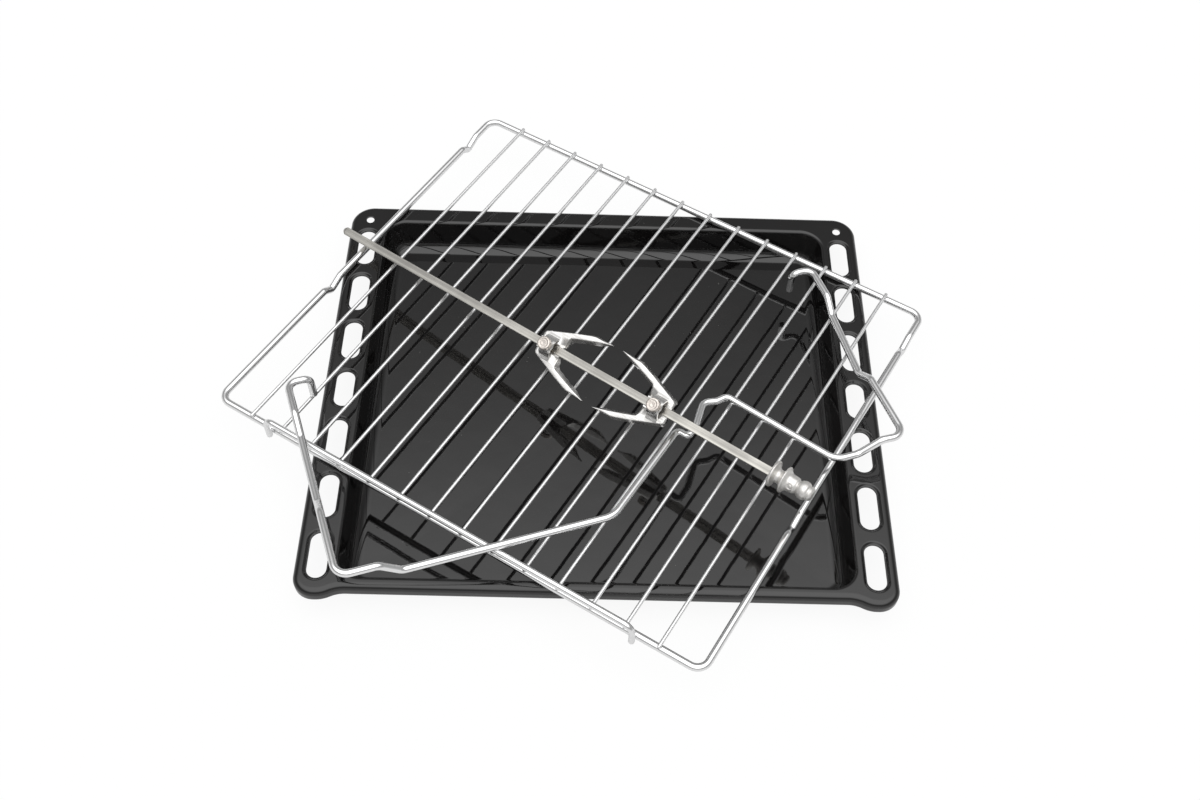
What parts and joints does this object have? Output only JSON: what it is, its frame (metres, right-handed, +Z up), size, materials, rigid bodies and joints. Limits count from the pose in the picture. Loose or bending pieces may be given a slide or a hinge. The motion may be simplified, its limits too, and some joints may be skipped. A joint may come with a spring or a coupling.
{
  "type": "oven accessory set",
  "caption": "Enamelled oven baking tray with a wire shelf laid across it, a bent wire spit cradle and a square rotisserie spit with sliding forks.",
  "frame": {"origin": "middle of the tray's underside, on the surface it stands on", "axes": "+X to the tray's right, +Y to its back, +Z up; the front edge with the two lobes is at -Y"},
  "size_m": [0.5807, 0.5604, 0.0796],
  "materials": {
    "black_enamel": "gloss vitreous enamel on sheet steel",
    "chrome_wire": "bright plated wire",
    "spit_steel": "satin drawn bar",
    "cast_end": "matt plated casting",
    "pressed_steel": "bright satin pressed sheet",
    "screw_steel": "satin turned"
  },
  "bodies": {
    "tray": {"tray_pan": "black_enamel"},
    "shelf": {"shelf_frame": "chrome_wire", "cross_wire_01": "chrome_wire", "cross_wire_02": "chrome_wire", "cross_wire_03": "chrome_wire", "cross_wire_04": "chrome_wire", "cross_wire_05": "chrome_wire", "cross_wire_06": "chrome_wire", "cross_wire_07": "chrome_wire", "cross_wire_08": "chrome_wire", "cross_wire_09": "chrome_wire", "cross_wire_10": "chrome_wire", "cross_wire_11": "chrome_wire", "cross_wire_12": "chrome_wire", "cross_wire_13": "chrome_wire", "cross_wire_14": "chrome_wire", "stop_rail": "chrome_wire"},
    "cradle": {"cradle_wire": "chrome_wire"},
    "spit": {"spit_bar": "spit_steel", "spit_end": "cast_end", "end_pin": "cast_end"},
    "left_fork": {"left_fork": "pressed_steel"},
    "left_screw": {"left_clamp_screw": "screw_steel"},
    "right_fork": {"right_fork": "pressed_steel"},
    "right_screw": {"right_clamp_screw": "screw_steel"}
  },
  "joints": [
    {"name": "shelf_lift", "type": "slide", "parent": "tray", "child": "shelf", "axis": [0, 0, 1], "range_m": [0, 0.06]},
    {"name": "cradle_lift", "type": "slide", "parent": "shelf", "child": "cradle", "axis": [0, 0, 1], "range_m": [0, 0.06]},
    {"name": "spit_lift", "type": "slide", "parent": "cradle", "child": "spit", "axis": [0, 0, 1], "range_m": [0, 0.06]},
    {"name": "left_fork_slide", "type": "slide", "parent": "spit", "child": "left_fork", "axis": [0.8075, -0.5866, 0.0622], "range_m": [-0.017, 0.004]},
    {"name": "left_screw_turn", "type": "hinge", "parent": "left_fork", "child": "left_screw", "pos_m": [-0.0463, 0.0153, 0.06503], "axis": [-0.3542, -0.3977, 0.8464], "range_deg": [0, 360]},
    {"name": "right_fork_slide", "type": "slide", "parent": "spit", "child": "right_fork", "axis": [0.8075, -0.5866, 0.0622], "range_m": [-0.004, 0.011]},
    {"name": "right_screw_turn", "type": "hinge", "parent": "right_fork", "child": "right_screw", "pos_m": [0.04058, -0.04782, 0.07173], "axis": [-0.3542, -0.3977, 0.8464], "range_deg": [0, 360]}
  ]
}
